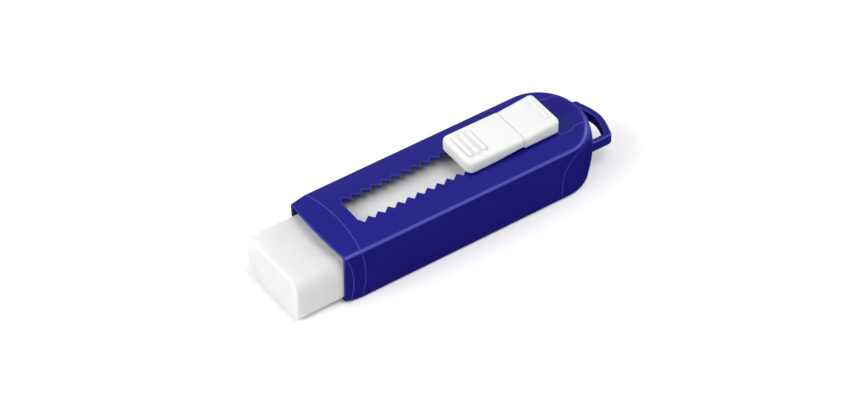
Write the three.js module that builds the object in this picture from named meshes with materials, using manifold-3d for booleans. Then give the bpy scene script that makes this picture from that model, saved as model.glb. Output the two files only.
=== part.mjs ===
// Slide-out block eraser. A plastic sleeve holds a rubber block, and a thumb slide on top pushes the block
// out of the mouth in clicks, along a slot with a zig-zag edge. Millimetres, +Z up.
// X runs from the mouth (0) to the hanging loop, Y runs across, and the sleeve rests on Z = 0.
// The last lines move the whole object so that its origin is in the middle of the sleeve's underside.

import * as THREE from "three";
import { mergeVertices } from "three/addons/utils/BufferGeometryUtils.js";
import Module from "manifold-3d";

const wasm = await Module();
wasm.setup();

// ---- Driving dimensions ----

const SLEEVE_WIDTH = 25.5;
const EDGE_HEIGHT = 16.2; // height along the long top edges
const CROWN = 1.15; // extra height along the middle of the top
const CROWN_START = 8; // the crown grows from this height up
const REAR_START = 69; // the sides stay straight from the mouth to here
const REAR_DEPTH = 11.5; // half axis of the elliptical rear end, at the top rim
const REAR_BULGE = 1.9; // the rear wall swells by this at mid height
const REAR_TOE = 0.4; // and its foot stands this far out
const REAR_FALL = 0.4; // the top is this much lower at the rear
const TOP_FILLET = 0.8;
const BOTTOM_FILLET = 0.9;

const SIDE_WALL = 1.35;
const ROOF_WALL = 1.5;
const FLOOR_WALL = 1.0;
const REAR_WALL = 1.6;
const SEAM_GAP = 0.12; // between pieces that meet along a seam
const LAP_DEPTH = 0.7; // a seam steps inwards at this depth below the skin
const LAP_LENGTH = 2.0;

const COLLAR_LENGTH = 4.4; // at the corners of the section
const COLLAR_BOW = 1.3; // the collar's seam bows back by this in the middle of each face
const COLLAR_TAPER = 0.45; // every face slopes in by this from the seam to the mouth
const MOUTH_BOW = 1.05; // the middle of the roof's front edge stands this far ahead of the sides

const CLICK_PITCH = 3.0;
const TOOTH_TIP = 3.85; // half width of the slot between tooth tips
const TOOTH_ROOT = 5.25; // half width between notch bottoms
const SLOT_FRONT = 9.6;
const FIRST_NOTCH = 10.7;
const NOTCH_COUNT = 20;
const TIP_AFTER_NOTCH = 1.8; // the rear flank of each notch is the longer one

const CAP_SEAM = { foot: 66.6, height: 14.4 }; // the cap's seam climbs each side to just under the rim
const TONGUE_FRONT = 70.2; // the rear cap's tongue closes the slot behind the thumb slide
const TONGUE_WIDE = 7.0;
const TONGUE_NARROW = 6.2;
const THUMB_SCOOP = { x: 71.8, z: 17.1, length: 8.6, halfWidth: 6.4, depth: 1.6 };

const SLIDE_SEAM = 58.9; // the thumb slide is split here into a button ahead and a fixed rear half
const SLIDE_HALF_WIDTH = 6.4;
const SLIDE_TOP = 20.65; // height of both halves at the seam
const BUTTON = { front: 41.6, corner: 1.9, edge: 1.1, rise: 0.3, foot: 17.4, footRear: 18.2 };
const REST = { rear: 70.1, corner: 1.4, edge: 1.2, rise: 0.95, foot: 17.35 };
const BUTTON_LIP = { length: 3.2, clearance: 0.55 }; // the front edge reaches down to just above the roof
const BUTTON_WALL = 1.5;
const BUTTON_ROOF = 1.25;
const RIB = { halfLength: 4.25, halfWidth: 0.55, height: 0.45, edge: 0.25 };
const BUTTON_RIBS = [44.0, 46.15, 48.35];
const REST_RIB = 67.75;

const HINGE = { x: 59.6, z: 18.3, pin: 0.6, hole: 0.75, halfLength: 5.3, ear: 0.9, earHalfWidth: 2.3 };
const STEM = { front: 60.9, rear: 69.6, halfWidth: 3.3, bottom: 14.65, top: 18.2 };
const SNAP_LEGS = [62.4, 67.4]; // hooked legs that hold the carriage under the stem
const SNAP = { halfWidth: 2.2, half: 0.5, hook: 0.6, bottom: 11.9, shoulder: 13.2, lead: 0.3 };
const SPRING = { slitFront: 63.2, bottom: 16.7, thickness: 0.3, halfWidth: 2.0 };
const CATCH = { front: 44.9, rear: 51.5, base: 2.5, bottom: 15.7, neck: 17.3, noses: [46.7, 49.7] };

const BLOCK = { front: -13.95, rear: 50.05, halfWidth: 11.2, bottom: 1.2, top: 12.9 };
const BLOCK_CORNERS = { upper: 2.0, lower: 0.9, edge: 0.5 };
const PRONG = { front: 42.5, offset: 5.0, bottom: 6.3, top: 7.7, tipHalfWidth: 0.4, rootHalfWidth: 1.5 };
const PRONG_PLAY = 0.25; // between a prong and its pocket in the block
const CARRIAGE = { front: 50.45, rear: 69.8, halfWidth: 8.8, bottom: 13.4, top: 14.5 };
const PUSH_PLATE = { thickness: 1.8, halfWidth: 10.9, bottom: 1.4 };
const RUNNER = { offset: 7.9, halfWidth: 0.9, height: 0.15 }; // strips that slide under the roof
const GUSSET = { length: 11, halfWidth: 0.7, bottom: 1.8 };

const LOOP = { root: 76.2, bottom: 6.0, top: 9.5, halfWidth: 8.0, reach: 87.9, arm: 1.5, bar: 1.8 };
const LOOP_EDGE = 0.55;

const HALF_WIDTH = SLEEVE_WIDTH / 2;
const OBJECT_CENTRE = 40.75; // middle of the sleeve, from the mouth
const OBJECT_END = 100; // cutting shapes run past the object to here
const BEYOND = 5; // and this far below it
const ACROSS = 20; // and this far to each side
const ABOVE = 30; // and up to here

// ---- Materials ----

const bluePlastic = new THREE.MeshStandardMaterial({ color: 0x2f2b8f, roughness: 0.35, metalness: 0 });
const whitePlastic = new THREE.MeshStandardMaterial({ color: 0xf0f0ee, roughness: 0.4, metalness: 0 });
const naturalPlastic = new THREE.MeshStandardMaterial({ color: 0xe4e4e0, roughness: 0.5, metalness: 0 });
const whiteRubber = new THREE.MeshStandardMaterial({ color: 0xf7f7f5, roughness: 0.85, metalness: 0 });
const springSteel = new THREE.MeshStandardMaterial({ color: 0xb9bcc0, roughness: 0.3, metalness: 1 });

// ---- Geometry helpers ----

const MERGE_BELOW = 0.01; // edges shorter than this are closed up where pieces are cut or joined

function toSolid(geometry) {
  const bare = geometry.clone();
  bare.deleteAttribute("normal");
  bare.deleteAttribute("uv");
  const merged = mergeVertices(bare, 1e-4);
  const vertProperties = new Float32Array(merged.attributes.position.array);
  const triVerts = new Uint32Array(merged.index.array);
  return new wasm.Manifold(new wasm.Mesh({ numProp: 3, vertProperties, triVerts, tolerance: MERGE_BELOW }));
}

function toGeometry(solid) {
  const mesh = solid.getMesh();
  const geometry = new THREE.BufferGeometry();
  geometry.setAttribute("position", new THREE.BufferAttribute(new Float32Array(mesh.vertProperties), 3));
  geometry.setIndex(new THREE.BufferAttribute(new Uint32Array(mesh.triVerts), 1));
  geometry.computeVertexNormals();
  return geometry;
}

function box([x0, x1], [y0, y1], [z0, z1]) {
  const geometry = new THREE.BoxGeometry(x1 - x0, y1 - y0, z1 - z0);
  geometry.translate((x0 + x1) / 2, (y0 + y1) / 2, (z0 + z1) / 2);
  return toSolid(geometry);
}

// A box centred on Y = 0.
function midBox(xs, halfWidth, zs) {
  return box(xs, [-halfWidth, halfWidth], zs);
}

// A plan outline raised from z0 to z1, with an optional rounded edge that stays inside the outline.
function raisedGeometry(shape, z0, z1, edge, curveSegments) {
  const geometry = new THREE.ExtrudeGeometry(shape, {
    depth: z1 - z0 - 2 * edge,
    bevelEnabled: edge > 0,
    bevelSize: edge,
    bevelThickness: edge,
    bevelOffset: -edge,
    bevelSegments: 3,
    curveSegments,
  });
  geometry.translate(0, 0, z0 + edge);
  return geometry;
}

function raise(shape, z0, z1, edge = 0, curveSegments = 8) {
  return toSolid(raisedGeometry(shape, z0, z1, edge, curveSegments));
}

// A side outline, drawn in X and Z, carried across from -halfWidth to +halfWidth.
function carryAcross(shape, halfWidth, curveSegments = 12) {
  const options = { depth: 2 * halfWidth, bevelEnabled: false, curveSegments };
  const geometry = new THREE.ExtrudeGeometry(shape, options);
  geometry.rotateX(Math.PI / 2);
  geometry.translate(0, halfWidth, 0);
  return toSolid(geometry);
}

// A section, drawn in Y and Z, carried along X with rounded ends.
function carryAlong(shape, x0, x1, edge) {
  const geometry = new THREE.ExtrudeGeometry(shape, {
    depth: x1 - x0 - 2 * edge,
    bevelSize: edge,
    bevelThickness: edge,
    bevelOffset: -edge,
    bevelSegments: 3,
    curveSegments: 8,
  });
  const axes = new THREE.Matrix4().makeBasis(
    new THREE.Vector3(0, 1, 0),
    new THREE.Vector3(0, 0, 1),
    new THREE.Vector3(1, 0, 0),
  );
  geometry.applyMatrix4(axes);
  geometry.translate(x0 + edge, 0, 0);
  return toSolid(geometry);
}

function polygon(points) {
  return new THREE.Shape(points.map(([a, b]) => new THREE.Vector2(a, b)));
}

// A rectangle with one radius on its two corners at y0 and another at y1.
function roundedRectangle(x0, x1, y0, y1, lower, upper = lower) {
  const shape = new THREE.Shape();
  shape.moveTo(x0 + lower, y0);
  shape.lineTo(x1 - lower, y0);
  shape.absarc(x1 - lower, y0 + lower, lower, -Math.PI / 2, 0);
  shape.lineTo(x1, y1 - upper);
  shape.absarc(x1 - upper, y1 - upper, upper, 0, Math.PI / 2);
  shape.lineTo(x0 + upper, y1);
  shape.absarc(x0 + upper, y1 - upper, upper, Math.PI / 2, Math.PI);
  shape.lineTo(x0, y0 + lower);
  shape.absarc(x0 + lower, y0 + lower, lower, Math.PI, 1.5 * Math.PI);
  return shape;
}

// A round pin along Y.
function crossPin(x, z, radius, halfLength) {
  const geometry = new THREE.CylinderGeometry(radius, radius, 2 * halfLength, 20);
  geometry.translate(x, 0, z);
  return toSolid(geometry);
}

// A block that reaches from far ahead of the mouth back to the curved face X = reach(y, z).
function blockAheadOf(reach, steps = 14) {
  const ahead = -20;
  const size = 40;
  const geometry = new THREE.BoxGeometry(2, size, size, 1, steps, steps);
  const position = geometry.attributes.position;
  for (let i = 0; i < position.count; i += 1) {
    const y = (position.getY(i) * SLEEVE_WIDTH * 1.1) / size;
    const z = (position.getZ(i) * 20) / size + CROWN_START;
    const x = position.getX(i) > 0 ? reach(y, z) : ahead;
    position.setXYZ(i, x, y, z);
  }
  return toSolid(geometry);
}

// ---- The sleeve's outer form ----

function clamp01(value) {
  return Math.min(1, Math.max(0, value));
}

// Where the collar's seam lies: it bows back in the middle of the roof and of each side.
function collarSeam(y, z) {
  const acrossRoof = 1 - clamp01(Math.abs(y) / HALF_WIDTH) ** 2;
  const upSide = 1 - clamp01(Math.abs(z - CROWN_START) / CROWN_START) ** 2;
  return COLLAR_LENGTH + COLLAR_BOW * (acrossRoof + upSide);
}

// Moves a point of the plain form onto the crowned, tapered one.
function shapePoint(x, y, z, collarTaper) {
  const upwards = clamp01((z - CROWN_START) / (EDGE_HEIGHT - CROWN_START));
  const crown = CROWN * (1 - (y / HALF_WIDTH) ** 2) * upwards;
  const fall = (REAR_FALL * clamp01(x / REAR_START) * z) / EDGE_HEIGHT;
  const height = z / EDGE_HEIGHT;
  const taper = collarTaper * Math.max(0, 1 - x / collarSeam(y, z));
  return [x, y * (1 - taper / HALF_WIDTH), z + crown - fall + taper * (1 - 2 * height)];
}

// The sleeve's form as a stack of U-shaped rings, each running along one side from the mouth, round the rear
// end and back. The margins shrink it, so the same rings give the skin, the cavity and the steps between.
function sleeveForm({ side = 0, roof = 0, floor = 0, rear = 0, start = -2, lift = 0, taper = COLLAR_TAPER }) {
  const arcSteps = 22;
  const filletSteps = 3;
  const levels = [];
  const bottom = floor;
  const top = EDGE_HEIGHT - roof;
  for (let i = 0; i <= filletSteps; i += 1) {
    const angle = (i / filletSteps) * (Math.PI / 2);
    levels.push([BOTTOM_FILLET * (1 - Math.sin(angle)), bottom + BOTTOM_FILLET * (1 - Math.cos(angle))]);
  }
  for (const share of [0.3, 0.55, 0.8]) {
    levels.push([0, bottom + (top - bottom) * share]);
  }
  for (let i = 0; i <= filletSteps; i += 1) {
    const angle = (i / filletSteps) * (Math.PI / 2);
    levels.push([TOP_FILLET * (1 - Math.cos(angle)), top - TOP_FILLET * (1 - Math.sin(angle))]);
  }
  for (let inset = 2.4; inset < 11; inset += 1.6) {
    levels.push([inset, top]);
  }

  const positions = [];
  let ringSize = 0;
  for (const [inset, z] of levels) {
    const halfWidth = HALF_WIDTH - side - inset;
    const share = clamp01(z / EDGE_HEIGHT);
    const bulge = REAR_BULGE * Math.sin(Math.PI * share) + REAR_TOE * (1 - share);
    const depth = REAR_DEPTH + bulge - rear - inset;
    const seam = collarSeam(halfWidth, z);
    const straight = [start, seam * 0.5, seam, REAR_START * 0.5];
    const ring = straight.map((x) => [x, -halfWidth]);
    for (let i = 0; i <= arcSteps; i += 1) {
      const angle = -Math.PI / 2 + (i / arcSteps) * Math.PI;
      ring.push([REAR_START + depth * Math.cos(angle), halfWidth * Math.sin(angle)]);
    }
    straight.reverse().forEach((x) => ring.push([x, halfWidth]));
    ringSize = ring.length;
    ring.forEach(([x, y]) => positions.push(...shapePoint(x, y, z, taper)));
  }

  const faces = [];
  for (let level = 0; level + 1 < levels.length; level += 1) {
    for (let i = 0; i < ringSize; i += 1) {
      const a = level * ringSize + i;
      const b = level * ringSize + ((i + 1) % ringSize);
      faces.push(a, b, b + ringSize, a, b + ringSize, a + ringSize);
    }
  }
  const lastRing = (levels.length - 1) * ringSize;
  for (let i = 0; 2 * i + 1 < ringSize - 1; i += 1) {
    const j = ringSize - 1 - i;
    faces.push(i, j, i + 1);
    faces.push(lastRing + i, lastRing + i + 1, lastRing + j);
    if (i + 1 < j - 1) {
      faces.push(i + 1, j, j - 1);
      faces.push(lastRing + i + 1, lastRing + j - 1, lastRing + j);
    }
  }
  const geometry = new THREE.BufferGeometry();
  geometry.setAttribute("position", new THREE.Float32BufferAttribute(positions, 3));
  geometry.setIndex(faces);
  geometry.translate(0, 0, lift);
  return toSolid(geometry);
}

// The mouth is square at the sides and the underside, and the roof's front edge bows forward.
function mouthFace(y, z) {
  const acrossRoof = Math.max(0, 1 - (y / HALF_WIDTH) ** 2);
  return -MOUTH_BOW * acrossRoof * clamp01((z - 12) / 1.5);
}

// The region of the rear cap below the sleeve's roof: it curves up from the floor to just under the rim.
function capSideProfile() {
  const shape = new THREE.Shape();
  shape.moveTo(CAP_SEAM.foot, -BEYOND);
  shape.lineTo(CAP_SEAM.foot - 0.2, 4.5);
  shape.bezierCurveTo(CAP_SEAM.foot, 10, 69, CAP_SEAM.height - 0.5, 74.5, CAP_SEAM.height);
  shape.lineTo(OBJECT_END, CAP_SEAM.height + 0.2);
  shape.lineTo(OBJECT_END, -BEYOND);
  return shape;
}

function tonguePlan(margin) {
  const wide = TONGUE_WIDE + margin;
  const narrow = TONGUE_NARROW + margin;
  const front = TONGUE_FRONT - margin;
  const step = [[front, wide], [73.3, wide], [74.7, narrow], [77, narrow]];
  const flare = [[82, wide + 0.5], [OBJECT_END, wide + 0.5]];
  const half = [...step, ...flare];
  const mirrored = half.map(([x, y]) => [x, -y]).reverse();
  return polygon([...mirrored, ...half].reverse());
}

function slotPlan() {
  const upper = [[SLOT_FRONT, TOOTH_TIP - 0.2], [SLOT_FRONT + 0.2, TOOTH_TIP]];
  for (let i = 0; i < NOTCH_COUNT; i += 1) {
    const notch = FIRST_NOTCH + i * CLICK_PITCH;
    upper.push([notch, TOOTH_ROOT]);
    upper.push([notch + TIP_AFTER_NOTCH, TOOTH_TIP]);
  }
  upper.push([TONGUE_FRONT + 1, TOOTH_TIP]);
  const lower = upper.map(([x, y]) => [x, -y]).reverse();
  return polygon([...upper, ...lower].reverse());
}

const skin = sleeveForm({});
const cavity = sleeveForm({
  side: SIDE_WALL,
  roof: ROOF_WALL,
  floor: FLOOR_WALL,
  rear: REAR_WALL,
  start: -6,
  taper: 0,
});
const mouthCut = blockAheadOf(mouthFace, 24);
const shell = skin.subtract(cavity).subtract(mouthCut);

// The form inside which a piece laps under its neighbour.
function lapCore(margin) {
  const depth = LAP_DEPTH + margin;
  return sleeveForm({ side: depth, roof: depth, floor: LAP_DEPTH / 2 + margin, rear: depth, start: -4 });
}

function collarRegion(margin) {
  const toSeam = blockAheadOf((y, z) => collarSeam(y, z) + margin);
  const toLap = blockAheadOf((y, z) => collarSeam(y, z) + LAP_LENGTH + margin);
  return toSeam.add(toLap.intersect(lapCore(-margin)));
}

function capRegion(margin) {
  const behind = carryAcross(capSideProfile(), SLEEVE_WIDTH).translate([-margin, 0, margin]);
  const lap = behind.translate([-LAP_LENGTH, 0, 0]).intersect(lapCore(-margin));
  const tongue = raise(tonguePlan(margin), 13.5, ABOVE);
  return behind.add(lap).add(tongue);
}

// ---- Fixed pieces ----

function frontCollar() {
  return shell.intersect(collarRegion(-SEAM_GAP / 2));
}

function sleeveShell() {
  const slot = raise(slotPlan(), 12, ABOVE);
  return shell.subtract(slot).subtract(collarRegion(SEAM_GAP / 2)).subtract(capRegion(SEAM_GAP / 2));
}

function loopPlan() {
  const { root, halfWidth, reach, arm, bar } = LOOP;
  const bow = 1.6; // the bar's ends stand back from its middle by this
  const round = 1.0;
  const shoulder = reach - bow;
  const inner = halfWidth - arm;
  const innerShoulder = shoulder - bar + 0.4;
  const shape = new THREE.Shape();
  shape.moveTo(root, -halfWidth);
  shape.lineTo(shoulder - round, -halfWidth);
  shape.quadraticCurveTo(shoulder, -halfWidth, shoulder, -halfWidth + round);
  shape.quadraticCurveTo(reach + bow, 0, shoulder, halfWidth - round);
  shape.quadraticCurveTo(shoulder, halfWidth, shoulder - round, halfWidth);
  shape.lineTo(root, halfWidth);
  shape.lineTo(root, inner);
  shape.lineTo(innerShoulder - round, inner);
  shape.quadraticCurveTo(innerShoulder, inner, innerShoulder, inner - round);
  shape.quadraticCurveTo(reach - bar + bow - 0.4, 0, innerShoulder, -inner + round);
  shape.quadraticCurveTo(innerShoulder, -inner, innerShoulder - round, -inner);
  shape.lineTo(root, -inner);
  return shape;
}

function rearCap() {
  const { x, z, length, halfWidth, depth } = THUMB_SCOOP;
  const thumbScoop = new THREE.SphereGeometry(1, 22, 14);
  thumbScoop.scale(length, halfWidth, depth);
  thumbScoop.translate(x, 0, z);
  const underTongue = midBox([TONGUE_FRONT + SEAM_GAP / 2, 78.6], TONGUE_NARROW - 0.2, [14.0, 15.6]);
  const walls = shell.intersect(capRegion(-SEAM_GAP / 2));
  const loop = raise(loopPlan(), LOOP.bottom, LOOP.top, LOOP_EDGE, 6);
  return walls.add(underTongue).subtract(toSolid(thumbScoop)).add(loop.subtract(cavity));
}

// ---- The thumb slide and its button ----

// The height of the thumb rest and button: a shallow hollow whose lowest line is the seam.
function slideTop(x) {
  const towardsFront = clamp01((SLIDE_SEAM - x) / (SLIDE_SEAM - BUTTON.front));
  const towardsRear = clamp01((x - SLIDE_SEAM) / (REST.rear - SLIDE_SEAM));
  return SLIDE_TOP + BUTTON.rise * towardsFront + REST.rise * towardsRear;
}

// A block with rounded corners from below the roof up to the sloping top.
function slideBlank(front, rear, { corner, edge }) {
  const upright = 17; // nothing below this height is tilted
  const shape = roundedRectangle(front, rear, -SLIDE_HALF_WIDTH, SLIDE_HALF_WIDTH, corner);
  const geometry = raisedGeometry(shape, 10, SLIDE_TOP, edge, 5);
  const position = geometry.attributes.position;
  for (let i = 0; i < position.count; i += 1) {
    const share = clamp01((position.getZ(i) - upright) / (SLIDE_TOP - upright));
    const rise = slideTop(position.getX(i)) - SLIDE_TOP;
    position.setZ(i, position.getZ(i) + rise * share);
  }
  return toSolid(geometry);
}

function rib(x) {
  const { halfLength, halfWidth, height, edge } = RIB;
  const shape = roundedRectangle(x - halfWidth, x + halfWidth, -halfLength, halfLength, 0.8 * halfWidth);
  return raise(shape, slideTop(x) - 1, slideTop(x) + height, edge, 4);
}

function snapLeg(x) {
  const { halfWidth, half, hook, bottom, shoulder, lead } = SNAP;
  const leg = midBox([x - half, x + half], halfWidth, [bottom, STEM.bottom + 0.85]);
  const reach = half + hook;
  const right = [[x + half, bottom], [x + reach, shoulder - lead], [x + reach, shoulder]];
  const left = [[x - reach, shoulder], [x - reach, shoulder - lead], [x - half, bottom]];
  return leg.add(carryAcross(polygon([...right, ...left]), halfWidth));
}

function thumbSlide() {
  const front = SLIDE_SEAM + SEAM_GAP;
  const earRear = HINGE.x + HINGE.ear + 0.4;
  const blank = slideBlank(front - 2 * REST.corner, REST.rear, REST);
  const half = blank.intersect(midBox([front, OBJECT_END], ACROSS, [REST.foot, ABOVE]));
  const stem = midBox([STEM.front, STEM.rear], STEM.halfWidth, [STEM.bottom, STEM.top]);
  const earPocket = midBox([SLIDE_SEAM - 1, earRear], HINGE.earHalfWidth + 0.3, [16.2, HINGE.z + 1.3]);
  const slit = [SPRING.bottom - 0.15, SPRING.bottom + SPRING.thickness + 0.15];
  const springSlit = midBox([SLIDE_SEAM - 1, SPRING.slitFront], SPRING.halfWidth + 0.15, slit);
  let slide = half.add(stem).add(rib(REST_RIB));
  SNAP_LEGS.forEach((x) => {
    slide = slide.add(snapLeg(x));
  });
  const pinHole = crossPin(HINGE.x, HINGE.z, HINGE.pin + 0.06, HINGE.halfLength + 0.2);
  return slide.subtract(earPocket).subtract(springSlit).subtract(pinHole);
}

// What is cut away under the button: its front edge follows the roof, and behind it the sides slope up.
function underButton() {
  const lipRear = BUTTON.front + BUTTON_LIP.length;
  const level = lipRear + 5;
  const slope = [[lipRear, 0], [SLIDE_SEAM + 1, 0], [SLIDE_SEAM + 1, BUTTON.footRear], [level, BUTTON.foot]];
  const underSides = carryAcross(polygon([...slope, [lipRear, BUTTON.foot]]), ACROSS);
  const overRoof = sleeveForm({ lift: BUTTON_LIP.clearance });
  return overRoof.add(underSides);
}

function latchButton() {
  const rear = SLIDE_SEAM - SEAM_GAP;
  const inside = SLIDE_TOP - BUTTON_ROOF;
  const hollowWidth = SLIDE_HALF_WIDTH - 0.9;
  const blank = slideBlank(BUTTON.front, rear + 2 * BUTTON.corner, BUTTON);
  const half = blank.intersect(midBox([0, rear], ACROSS, [0, ABOVE]));
  const hollow = midBox([BUTTON.front + BUTTON_WALL, rear - BUTTON_WALL], hollowWidth, [0, inside]);
  const ear = midBox([rear - 2, HINGE.x + HINGE.ear], HINGE.earHalfWidth, [17.4, HINGE.z + 1]);
  const earHole = crossPin(HINGE.x, HINGE.z, HINGE.hole, HINGE.earHalfWidth + 1);
  let button = half.subtract(underButton()).subtract(hollow).add(ear).subtract(earHole);
  BUTTON_RIBS.forEach((x) => {
    button = button.add(rib(x));
  });
  return button;
}

function hingePin() {
  return crossPin(HINGE.x, HINGE.z, HINGE.pin, HINGE.halfLength);
}

// A leaf that rises from the stem to just under the button's top.
function latchSpring() {
  const { bottom, thickness, halfWidth } = SPRING;
  const root = [[SPRING.slitFront - 0.2, bottom], [57.6, bottom], [56.8, bottom + 0.25]];
  const tip = [[53.4, bottom + 1.85], [52.6, bottom + 1.9]];
  const lower = [...root, ...tip];
  const upper = lower.map(([x, z]) => [x, z + thickness]).reverse();
  return carryAcross(polygon([...lower, ...upper].reverse()), halfWidth);
}

// The catch under the button. Its noses point into the notches and run just clear of the tooth tips.
function detentPawl() {
  const { front, rear, base, bottom, neck, noses } = CATCH;
  const tip = TOOTH_TIP - 0.2;
  const upper = [[front, base]];
  noses.forEach((x) => upper.push([x - 1.2, base], [x - 0.2, tip], [x + 0.2, tip], [x + 1.4, base]));
  upper.push([rear, base]);
  const lower = upper.map(([x, y]) => [x, -y]).reverse();
  const toothed = raise(polygon([...upper, ...lower].reverse()), bottom, neck);
  return toothed.add(midBox([front, rear], base, [neck - 0.1, SLIDE_TOP - BUTTON_ROOF - 0.1]));
}

// ---- Inside the sleeve ----

// A flat blade that points forward into the block. With a margin it's the pocket that the blade fits.
function prong(y, margin = 0) {
  const tip = PRONG.tipHalfWidth + margin;
  const root = PRONG.rootHalfWidth + margin;
  const front = PRONG.front - margin;
  const half = [[front, tip], [PRONG.front + 2, root], [CARRIAGE.front + 0.5, root]];
  const mirrored = half.map(([a, b]) => [a, -b]).reverse();
  const outline = polygon([...half, ...mirrored].reverse());
  return raise(outline, PRONG.bottom - margin, PRONG.top + margin).translate([0, y, 0]);
}

function slideCarriage() {
  const { front, rear, halfWidth, bottom, top } = CARRIAGE;
  const plateRear = front + PUSH_PLATE.thickness;
  const inTop = bottom + 0.4;
  let carriage = midBox([front, rear], halfWidth, [bottom, top]);
  carriage = carriage.add(midBox([front, plateRear], PUSH_PLATE.halfWidth, [PUSH_PLATE.bottom, inTop]));
  const corners = [[front + 1, GUSSET.bottom], [front + 1, inTop], [front + GUSSET.length, inTop]];
  const gusset = carryAcross(polygon(corners.reverse()), GUSSET.halfWidth);
  [-1, 1].forEach((side) => {
    const middle = side * RUNNER.offset;
    const ys = [middle - RUNNER.halfWidth, middle + RUNNER.halfWidth];
    const runner = box([front, rear], ys, [top - 0.2, top + RUNNER.height]);
    carriage = carriage.add(runner).add(prong(side * PRONG.offset));
    carriage = carriage.add(gusset.translate([0, side * PRONG.offset, 0]));
  });
  SNAP_LEGS.forEach((x) => {
    const half = SNAP.half + 0.2;
    carriage = carriage.subtract(midBox([x - half, x + half], SNAP.halfWidth + 0.2, [10, 20]));
  });
  return carriage;
}

function eraserBlock() {
  const { front, rear, halfWidth, bottom, top } = BLOCK;
  const { lower, upper, edge } = BLOCK_CORNERS;
  const section = roundedRectangle(-halfWidth, halfWidth, bottom, top, lower, upper);
  let block = carryAlong(section, front, rear, edge);
  [-1, 1].forEach((side) => {
    block = block.subtract(prong(side * PRONG.offset, PRONG_PLAY));
  });
  return block;
}

// ---- The object ----

const eraser = new THREE.Group();
eraser.position.x = -OBJECT_CENTRE;

function addPiece(name, solid, material) {
  const mesh = new THREE.Mesh(toGeometry(solid), material);
  mesh.name = name;
  eraser.add(mesh);
}

addPiece("sleeve_shell", sleeveShell(), bluePlastic);
addPiece("front_collar", frontCollar(), bluePlastic);
addPiece("rear_cap", rearCap(), bluePlastic);
addPiece("thumb_slide", thumbSlide(), whitePlastic);
addPiece("slide_carriage", slideCarriage(), naturalPlastic);
addPiece("latch_button", latchButton(), whitePlastic);
addPiece("detent_pawl", detentPawl(), naturalPlastic);
addPiece("latch_spring", latchSpring(), springSteel);
addPiece("hinge_pin", hingePin(), springSteel);
addPiece("eraser_block", eraserBlock(), whiteRubber);

const object = new THREE.Group();
object.add(eraser);

export default object;
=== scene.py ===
"""Looks for a slide-out block eraser: a blue sleeve with a toothed slot, a white slide and a white block.

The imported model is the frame. The visible pieces are remade here with finer surfaces, in millimetres, and
scaled to metres when they are finished. X runs from the mouth to the hanging loop, Y across and Z up.
"""

import math

import bmesh
import bpy
import numpy as np
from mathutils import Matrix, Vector


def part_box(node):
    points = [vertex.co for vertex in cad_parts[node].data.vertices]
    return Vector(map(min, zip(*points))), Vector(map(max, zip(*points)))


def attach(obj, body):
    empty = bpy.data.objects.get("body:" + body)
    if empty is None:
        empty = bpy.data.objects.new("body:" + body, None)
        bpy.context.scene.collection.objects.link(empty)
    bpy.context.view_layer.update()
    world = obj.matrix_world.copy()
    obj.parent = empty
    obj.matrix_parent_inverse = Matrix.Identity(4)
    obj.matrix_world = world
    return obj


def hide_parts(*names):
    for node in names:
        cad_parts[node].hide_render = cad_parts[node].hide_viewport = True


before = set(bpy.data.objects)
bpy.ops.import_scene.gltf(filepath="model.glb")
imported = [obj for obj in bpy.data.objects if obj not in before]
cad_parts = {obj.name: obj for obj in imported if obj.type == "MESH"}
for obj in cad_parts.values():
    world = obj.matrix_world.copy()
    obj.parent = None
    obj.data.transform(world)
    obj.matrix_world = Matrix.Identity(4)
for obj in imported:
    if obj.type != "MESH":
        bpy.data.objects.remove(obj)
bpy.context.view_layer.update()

MM = 0.001


def node_box(node):
    """A CAD node's lowest and highest corner, in millimetres."""
    low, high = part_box(node)
    return np.array(low) / MM, np.array(high) / MM


shell_low, shell_high = node_box("sleeve_shell")
slide_half_width = node_box("thumb_slide")[1][1]
button_half_width = node_box("latch_button")[1][1]
block_low, block_high = node_box("eraser_block")

# ---- Driving dimensions, in millimetres; places along X are measured from the mouth ----

MOUTH = -40.75  # the mouth's place along X
HALF_WIDTH = (shell_high[1] - shell_low[1]) / 2
EDGE_HEIGHT = 16.2  # of the sides; the top is crowned above them
CROWN = 1.15
CROWN_START = 8.0  # the crown grows from nothing at this height
REAR_START = 69.0
REAR_DEPTH = 11.5  # half axis of the elliptical rear end, at the top
REAR_BULGE = 1.9  # the rear wall swells by this at mid height
REAR_TOE = 0.4  # and its foot stands this far out
REAR_FALL = 0.4  # the top is this much lower at the rear
TOP_FILLET = 0.8
REAR_FILLET = 1.9  # the same edge at the middle of the rear end
BOTTOM_FILLET = 0.9
SIDE_WALL = 1.35
ROOF_WALL = 1.15
FLOOR_WALL = 1.0
REAR_WALL = 1.6

COLLAR_LENGTH = 4.4  # at the corners of the section
COLLAR_BOW = 1.3  # the collar's seam bows back by this in the middle of each face
COLLAR_TAPER = 0.45
GRIP_CREASE = 2.2  # ahead of a crease that bows back to here, the sides turn in for the fingers
GRIP_INSET = 0.6
GRIP_TAPER_SHARE = 0.6  # of the collar's taper, which the inset takes the place of
GRIP_LEAST = 0.03  # share of the crease that is left above its reach
GRIP_STEP = 0.14  # the crease is a small step
GRIP_STEP_LENGTH = 0.06
GRIP_HEIGHT = 6.5  # the crease is furthest back at this height
GRIP_REACH = 9.8  # and meets the mouth this far above it
MOUTH_BOW = 1.05  # the middle of the roof's front edge stands this far ahead of the sides
MOUTH_BOW_START, MOUTH_BOW_RISE = 12.0, 1.5  # the bow starts at this height and is full this far above it
SEAM_GAP = 0.016
LIP_CHAMFER = 0.04
LIP_INNER_ROUND = 0.12
LIP_WALL = SIDE_WALL - 0.2  # thickness of the mouth's edge

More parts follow.
